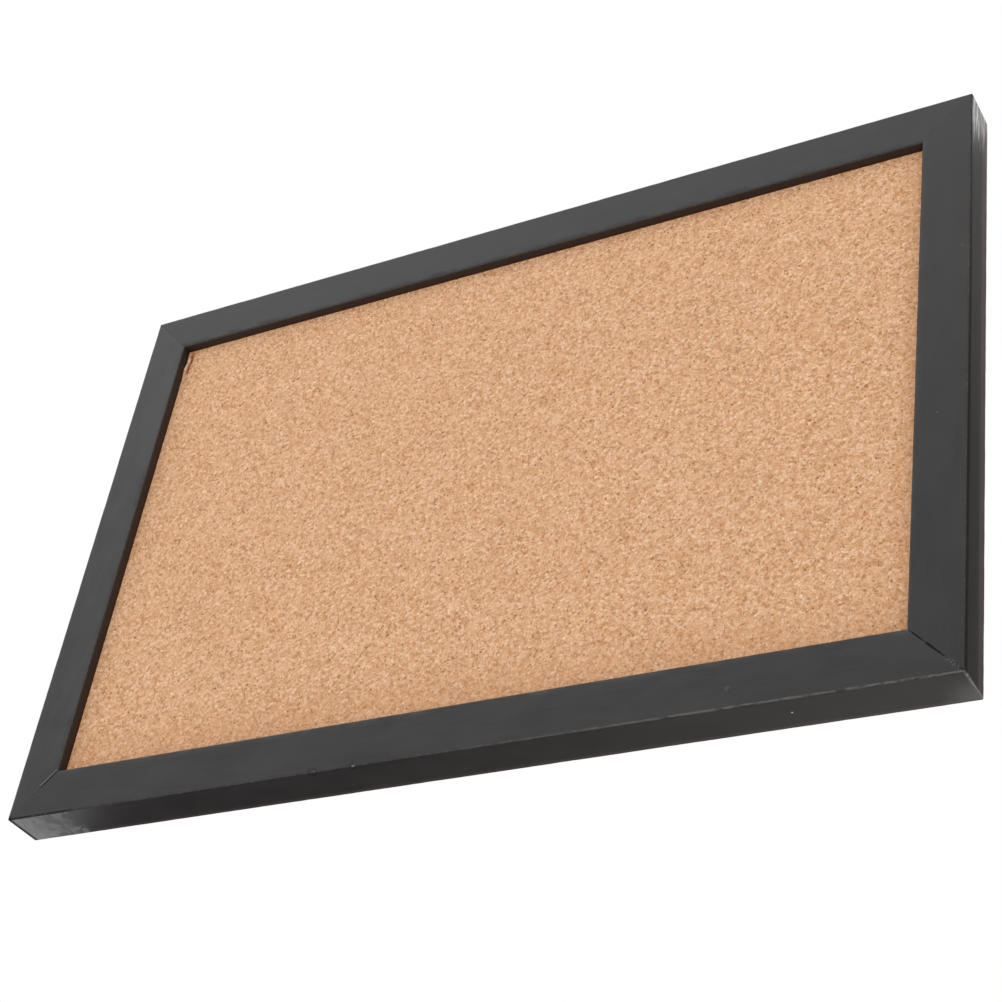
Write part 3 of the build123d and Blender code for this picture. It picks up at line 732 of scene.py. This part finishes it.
def build_rail(name, paint, wood, rng):
    """One mitred length of moulding, with its worn arrises, its open seams and any chips."""
    out, along_axis, half_length, half_across, corners = RAILS[name]
    outline, painted = moulding_outline()
    chips = [(place, 3 * half) for place, half, _ in CHIPS] if name == "bottom_rail" else []
    parts = rail_stations(half_length, chips)

    inward = np.broadcast_to(outline[:, 0], (len(parts), len(outline))).copy()
    y = np.broadcast_to(outline[:, 1], inward.shape).copy()
    edge = np.broadcast_to(outline[:, 2], inward.shape).copy()
    low_end = parts[:, None] < 0
    from_mitre = (half_length - inward) * (1 - np.abs(parts[:, None]))
    along = parts[:, None] * (half_length - inward)

    before = np.roll(outline[:, :2], 1, axis=0)
    after = np.roll(outline[:, :2], -1, axis=0)
    turn = after - before
    normals = np.stack([turn[:, 1], -turn[:, 0]], axis=1)
    normals /= np.linalg.norm(normals, axis=1, keepdims=True)
    if normals[outline[:, 0].argmin()][0] > 0:
        normals = -normals

    # wood that the lacquer rounds unevenly, and the chips
    worn = wander(rng, along[:, 0], 2.3 * MM, 0.035 * MM) + wander(rng, along[:, 0], 9 * MM, 0.045 * MM)
    sink = np.clip(worn + 0.02 * MM, 0, None)[:, None] * edge
    seam = np.where(low_end, mitre_seam(corners[0], inward), mitre_seam(corners[1], inward))
    sink += 1.1 * seam * np.clip(1 - from_mitre / seam, 0, 1)
    broken = np.zeros_like(inward)
    if chips:
        front_arris = (inward < 2.6 * MM) & (y < FRONT_Y + 2.6 * MM)
        offset = np.hypot(inward, y - FRONT_Y) - 0.33 * MM
        depth, chipped = chip_depths(rng, along, offset)
        sink += np.where(front_arris, depth, 0)
        broken = np.where(front_arris, chipped, 0)
    sink[:, painted:] = 0
    inward -= sink * normals[:, 0]
    y -= sink * normals[:, 1]

    # the upright edge at each outer corner is eased
    radius = np.clip(CORNER_EASE - inward, 1e-9, None)
    eased = from_mitre < radius
    angle = math.pi / 4 * (1 - np.clip(from_mitre / radius, 0, 1))
    drawn_in = np.where(eased, radius - radius * np.sin(angle), from_mitre)
    reach = half_length - inward - drawn_in
    inward = np.where(eased, inward + radius * (1 - np.cos(angle)), inward)
    along = np.where(low_end, -reach, reach)

    out = np.array(out)
    points = (half_across - inward)[..., None] * out + along[..., None] * np.array(along_axis)
    points[..., 1] += y
    stations, count = inward.shape
    faces = tube_faces(stations, count)
    faces.append(tuple(range(count)))
    faces.append(tuple(range((stations - 1) * count, stations * count)))
    section_slots = [0 if k < painted - 1 or k == count - 1 else 1 for k in range(count)]
    slots = section_slots * (stations - 1) + [1, 1]

    rail = make_piece("moulding_" + name, points.reshape(-1, 3), faces, (paint, wood))
    rail.data.polygons.foreach_set("material_index", slots)
    store(rail.data, "edge", "FLOAT", edge)
    store(rail.data, "chip", "FLOAT", broken)
    stand_in(rail, name, sharp=40)
    return rail


def cut_nail_slots(rail, corners):
    """Opens the slots above the V-nails, which are sunk below the moulding's back."""
    for corner in corners:
        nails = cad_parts["v_nails_" + corner]
        mesh = nails.data.copy()
        low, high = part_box("v_nails_" + corner)
        middle = (low.y + high.y) / 2
        for vertex in mesh.vertices:
            vertex.co.y = 0.3 * MM if vertex.co.y > middle else high.y - 0.5 * MM
        cutter = bpy.data.objects.new("nail_cutter", mesh)
        bpy.context.scene.collection.objects.link(cutter)
        modifier = rail.modifiers.new("slots", "BOOLEAN")
        modifier.operation = "DIFFERENCE"
        modifier.solver = "EXACT"
        modifier.object = cutter
        bpy.context.view_layer.update()
        solved = bpy.data.meshes.new_from_object(rail.evaluated_get(bpy.context.evaluated_depsgraph_get()))
        rail.modifiers.clear()
        rail.data = solved
        bpy.data.objects.remove(cutter)


def store_grain(rail, name):
    """Keeps each point's place along the rail, in from its outer face, and in depth, for the grain."""
    out, along_axis, _, half_across, _ = RAILS[name]
    mesh = rail.data
    points = np.empty(3 * len(mesh.vertices), dtype=np.float32)
    mesh.vertices.foreach_get("co", points)
    points = points.reshape(-1, 3)
    along = points @ np.array(along_axis) + 0.7 * list(RAILS).index(name)
    inward = half_across - points @ np.array(out)
    store(mesh, "grain", "FLOAT_VECTOR", np.stack([along, inward, points[:, 1]], axis=-1))
    # and each length's level of painted light and shade
    store(mesh, "rail_light", "FLOAT", np.full(len(points), RAIL_LIGHT_LEVELS[name]))


# ---------------------------------------------------------------- cork
def cork_lines(low, high, edge_low, edge_high, step, fine_low, fine_high, fine_step):
    """Grid lines across the cork: coarse under the lip, `step` apart in view, closer at the torn corner."""
    under_low = np.linspace(low, edge_low, 4)[:-1]
    under_high = np.linspace(edge_high, high, 4)[1:]
    view = np.linspace(edge_low, edge_high, int(round((edge_high - edge_low) / step)) + 1)
    view = view[(view < fine_low) | (view > fine_high)]
    fine = np.arange(fine_low, fine_high, fine_step)
    return np.concatenate([under_low, view[view < fine_low], fine, view[view > fine_high], under_high])


def segment_reach(x, z, line):
    """Distance from each point to a line of joined segments, and how far along it, from 0 to 1."""
    best = np.full(x.shape, np.inf)
    part = np.zeros(x.shape)
    side = np.zeros(x.shape)
    for index, ((ax, az), (bx, bz)) in enumerate(zip(line[:-1], line[1:])):
        run_x = bx - ax
        run_z = bz - az
        t = np.clip(((x - ax) * run_x + (z - az) * run_z) / (run_x**2 + run_z**2), 0, 1)
        distance = np.hypot(x - ax - t * run_x, z - az - t * run_z)
        closer = distance < best
        best = np.where(closer, distance, best)
        part = np.where(closer, (index + t) / (len(line) - 1), part)
        side = np.where(closer, np.sign(run_x * (z - az) - run_z * (x - ax)), side)
    return best, part, side


def build_cork(material, rng):
    """The cork sheet: granule relief over the part in view, with a sliver torn up at its top left corner."""
    in_left = -HALF_WIDTH + FACE_WIDTH
    in_top = HALF_HEIGHT - FACE_WIDTH
    xs = cork_lines(CORK_LOW.x, CORK_HIGH.x, in_left, -in_left, 1.2 * MM, in_left, in_left + 6 * MM, 0.3 * MM)
    zs = cork_lines(CORK_LOW.z, CORK_HIGH.z, -in_top, in_top, 1.2 * MM, in_top - 19 * MM, in_top, 0.45 * MM)
    x, z = np.meshgrid(xs, zs, indexing="ij")

    coarse = rng.normal(0, 1, x.shape)
    blurred = coarse + 0.5 * (np.roll(coarse, 1, 0) + np.roll(coarse, 1, 1))
    relief = np.clip(0.030 * MM * blurred + 0.03 * MM, -0.02 * MM, 0.16 * MM)
    in_view = (np.abs(x) < -in_left - 0.3 * MM) & (np.abs(z) < in_top - 0.3 * MM)
    relief = np.where(in_view, relief, 0.0)

    # the sliver: a lifted lip along the left edge, with the tear open on its right
    tear_line = [
        (in_left + 2.9 * MM, in_top - 0.3 * MM),
        (in_left + 2.7 * MM, in_top - 5.5 * MM),
        (in_left + 2.2 * MM, in_top - 11.5 * MM),
        (in_left + 1.3 * MM, in_top - 17.0 * MM),
    ]
    wavy = 0.25 * MM * np.sin(z / (1.3 * MM))
    reach, part, side = segment_reach(x + wavy, z, tear_line)
    taper = np.clip(part * 8, 0, 1) * np.clip((1 - part) * 5, 0, 1)
    tear = np.clip(1.8 - reach / (0.62 * MM), 0, 1) * taper
    left_of_tear = side < 0
    lip_width = 2.3 * MM
    lip = np.where(left_of_tear, np.clip(1 - reach / lip_width, 0, 1) * taper, 0)
    lip_mask = np.clip(lip * 3, 0, 1) * np.clip(1.15 - tear * 1.4, 0, 1)
    relief = relief + 0.9 * MM * tear - 0.8 * MM * np.sin(np.clip(lip, 0, 1) * math.pi) ** 0.7 * (1 - tear)

    count_x, count_z = x.shape
    front = np.stack([x, CORK_Y + relief, z], axis=-1).reshape(-1, 3)
    faces = []
    for i in range(count_x - 1):
        row = i * count_z
        for j in range(count_z - 1):
            faces.append((row + j, row + j + 1, row + count_z + j + 1, row + count_z + j))
    rim = [i * count_z for i in range(count_x)]
    rim += [(count_x - 1) * count_z + j for j in range(1, count_z)]
    rim += [i * count_z + count_z - 1 for i in range(count_x - 2, -1, -1)]
    rim += list(range(count_z - 2, 0, -1))
    back = front[rim].copy()
    back[:, 1] = CORK_HIGH.y
    first = len(front)
    size = len(rim)
    for k, (here, beside) in enumerate(zip(rim, rim[1:] + rim[:1])):
        faces.append((here, beside, first + (k + 1) % size, first + k))
    faces.append(tuple(range(first, first + size)))

    cork = make_piece("cork_granule_sheet", np.concatenate([front, back]), faces, (material,))
    filler = np.zeros(size)
    store(cork.data, "tear", "FLOAT", np.concatenate([tear.ravel(), filler]))
    store(cork.data, "sliver", "FLOAT", np.concatenate([lip_mask.ravel(), filler]))
    stand_in(cork, "cork_sheet")


# ---------------------------------------------------------------- rings
def ring_line(reach):
    """The D's line as (across, along, angle outwards): up a side, round the arch, down, and along the bar."""
    side = RING_HALF_WIDTH
    arch_start = reach - side
    bar_half = side - RING_CORNER
    line = []

    def bend(across, along, radius, start, end, steps):
        for angle in np.radians(np.linspace(start, end, steps + 1)):
            line.append((across + radius * math.cos(angle), along + radius * math.sin(angle), angle))

    bend(bar_half, RING_CORNER, RING_CORNER, -90, 0, 8)
    bend(0, arch_start, side, 0, 180, 40)
    bend(-bar_half, RING_CORNER, RING_CORNER, 180, 270, 8)
    return line


def build_ring(hand, material):
    """The bent wire D-ring, from the box of its CAD solid: it leans back from its bar to its arch."""
    node = "d_ring_" + hand
    low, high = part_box(node)
    pivot = Vector(((low.x + high.x) / 2, low.y + WIRE_RADIUS, high.z - WIRE_RADIUS))
    lean = Vector((0, high.y - low.y - 2 * WIRE_RADIUS, low.z - high.z + 2 * WIRE_RADIUS))
    down = lean.normalized()
    aside = RIGHT.cross(down)
    line = ring_line(lean.length)
    sides = 20
    points = []
    for across, along, angle in line:
        centre = pivot + across * RIGHT + along * down
        outwards = math.cos(angle) * RIGHT + math.sin(angle) * down
        for k in range(sides):
            turn = 2 * math.pi * k / sides
            points.append(centre + WIRE_RADIUS * (math.cos(turn) * outwards + math.sin(turn) * aside))
    faces = tube_faces(len(line), sides, closed=True)
    wire = make_piece("ring_wire_" + hand, points, faces, (material,), "ring_" + hand)
    stand_in(wire, node)


# ---------------------------------------------------------------- the pieces
def repaint(material, *nodes):
    """Gives CAD pieces their finish."""
    for name in nodes:
        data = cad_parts[name].data
        data.materials.clear()
        data.materials.append(material)


def build_board():
    rng = np.random.default_rng(SEED)
    paint = satin_paint()
    wood = bare_wood()
    for name in RAILS:
        rail = build_rail(name, paint, wood, rng)
        cut_nail_slots(rail, RAILS[name][-1])
        store_grain(rail, name)
    build_cork(cork_granules(), rng)
    repaint(soft_fibreboard(), "fibreboard_core")
    repaint(screen_back_hardboard(), "hardboard_backing")
    nail_steel = steel("nail_steel", (0.55, 0.55, 0.56), (0.40, 0.41, 0.43), 0.34, (1, 0.05, 1))
    repaint(nail_steel, *["v_nails_" + corner for corner in SEAMS])
    point_steel = steel("point_steel", (0.50, 0.51, 0.53), (0.34, 0.35, 0.37), 0.36, (0.05, 1, 1))
    repaint(point_steel, *["backing_points_" + side for side in ("top", "bottom", "left", "right")])
    zinc = steel("zinc_plate", (0.70, 0.70, 0.68), (0.50, 0.50, 0.49), 0.27, (1, 1, 0.06), 0.008 * MM)
    for hand in ("left", "right"):
        repaint(zinc, "hanger_strap_" + hand, "hanger_screw_" + hand)
        build_ring(hand, zinc)


# ---------------------------------------------------------------- studio
def add_camera():
    """Low, to the board's right, looking up at its front."""
    azimuth = math.radians(34.727)
    elevation = math.radians(-35.741)
    roll = math.radians(9.827)
    aim = Vector((0.03124 * WIDTH, FRONT_Y, -0.05494 * WIDTH))
    distance = 2.0581 * WIDTH
    back = Vector((
        math.sin(azimuth) * math.cos(elevation),
        -math.cos(azimuth) * math.cos(elevation),
        math.sin(elevation),
    ))
    level = Vector((0, 0, 1)).cross(back).normalized()
    above = back.cross(level)
    right = math.cos(roll) * level + math.sin(roll) * above
    up = -math.sin(roll) * level + math.cos(roll) * above
    camera = bpy.data.objects.new("camera", bpy.data.cameras.new("camera"))
    camera.matrix_world = Matrix((right, up, back)).transposed().to_4x4()
    camera.location = aim + distance * back
    camera.data.sensor_width = 36
    camera.data.lens = 76.145
    camera.data.clip_start = 0.01
    bpy.context.scene.collection.objects.link(camera)
    bpy.context.scene.camera = camera


def add_card(name, centre, target, width, height, brightness):
    """A soft light card that faces a point and isn't seen itself. Brightness 1 is the white surround's."""
    light = bpy.data.lights.new(name, "AREA")
    light.shape = "RECTANGLE"
    light.size = width
    light.size_y = height
    light.energy = brightness * math.pi * width * height
    lamp = bpy.data.objects.new(name, light)
    lamp.location = centre
    lamp.rotation_euler = (Vector(target) - Vector(centre)).to_track_quat("-Z", "Y").to_euler()
    lamp.visible_camera = False
    bpy.context.scene.collection.objects.link(lamp)


def add_floor():
    """A pale floor well below the board, fading into the white surround."""
    height = -0.80  # from the board's middle
    rings = (2.6, 1.8, 0.9)
    steps = 48
    angles = [2 * math.pi * k / steps for k in range(steps)]
    points = [(ring * math.cos(angle), ring * math.sin(angle), height) for ring in rings for angle in angles]
    faces = tube_faces(len(rings), steps)
    faces.append(tuple(range(len(points) - steps, len(points))))
    mesh = bpy.data.meshes.new("studio_floor")
    mesh.from_pydata(points, [], faces)
    floor = bpy.data.objects.new("studio_floor", mesh)
    bpy.context.scene.collection.objects.link(floor)

    shader = new_material("pale_floor")
    place = shader.place()
    distance = shader.length(shader.stretch(place, 1, 1, 0))
    tone = shader.noise(place, 0.4, 3)
    colour = shader.mix(tone, (0.80, 0.80, 0.79), (0.84, 0.84, 0.83))
    shader.surface(Base_Color=colour, Roughness=0.85, Alpha=shader.fade(distance, 2.5, 1.1))
    mesh.materials.append(shader.owner)
    floor.visible_glossy = False


def add_surround():
    """Soft studio light all round: white to the camera, with dimmer sides that give the lacquer its tone."""
    world = bpy.data.worlds.new("studio")
    bpy.context.scene.world = world
    shader = Shader(world)
    tree = shader.tree
    tree.nodes.clear()
    direction = shader.add("TexCoord", output="Generated")
    x, y, z = shader.split(direction)
    path = tree.nodes.new("ShaderNodeLightPath").outputs

    def lobe(toward, outer, inner, level):
        cosine = shader.add("VectorMath", {0: direction, 1: toward}, output="Value", operation="DOT_PRODUCT")
        return shader.fade(cosine, math.cos(math.radians(outer)), math.cos(math.radians(inner)), 0.0, level)

    behind = shader.fade(z, -0.42, 0.54, 0.122, 0.160)
    glossy = shader.mix(shader.fade(y, 0.35, -0.40), behind, (0.955, 0.955, 0.955))
    glossy = shader.split(glossy)[0]
    above_left = shader.more(x, -0.35, z)
    front_side = shader.fade(y, 0.0, -0.3)
    boost = shader.times(shader.fade(above_left, 0.70, 0.90, 0.0, 0.50), front_side)
    glossy = shader.math("ADD", glossy, boost)
    # brighter and dimmer parts of the surround: (direction, outer and inner half angles, level added)
    lobes = (
        ((-0.26, 0.80, -0.54), 20, 2, 0.30),
        ((-0.20, 0.81, -0.55), 14, 1, 0.54),
        ((0.21, 0.61, 0.765), 13, 1, 0.20),
        ((-0.65, -0.61, 0.45), 16, 3, -0.20),
        ((-0.58, -0.54, 0.61), 8, 1, 0.07),
        ((-0.45, 0.75, 0.48), 32, 16, 0.9),
        ((0.55, 0.80, -0.20), 26, 12, 0.8),
    )
    for toward, outer, inner, level in lobes:
        glossy = shader.math("ADD", glossy, lobe(toward, outer, inner, level))
    tint = shader.mix(shader.fade(y, 0.0, 0.4), (1.0, 1.0, 1.0), (1.04, 0.995, 0.94))
    glossy = shader.shade(tint, glossy)
    diffuse = shader.fade(y, 0.1, 0.9, 1.0, 0.85)
    level = shader.mix(path["Is Glossy Ray"], diffuse, glossy)
    level = shader.mix(path["Is Camera Ray"], level, (1.0, 1.0, 1.0))
    background = tree.nodes.new("ShaderNodeBackground")
    tree.links.new(level, background.inputs["Color"])
    output = tree.nodes.new("ShaderNodeOutputWorld")
    tree.links.new(background.outputs[0], output.inputs["Surface"])
    world.cycles.sampling_method = "NONE"


def light_studio():
    add_surround()
    add_floor()

    # two small cards, each mirrored in one end of an outer face
    upper_right = Vector((HALF_WIDTH, FRONT_Y / 2, HALF_HEIGHT - 10 * MM))
    centre = upper_right + Vector((0.028, 0.078, 0.131))
    add_card("upper_right_card", centre, upper_right, width=0.10, height=0.066, brightness=1.35)
    lower_left = Vector((15 * MM - HALF_WIDTH, FRONT_Y / 2, -HALF_HEIGHT))
    centre = lower_left + Vector((-0.083, 0.050, -0.034))
    add_card("lower_left_card", centre, lower_left, width=0.075, height=0.10, brightness=0.8)

    view = bpy.context.scene.view_settings
    view.view_transform = "Standard"
    view.look = "None"
    view.exposure = 0.0
    view.gamma = 1.0


build_board()
light_studio()
add_camera()

bpy.context.view_layer.update()
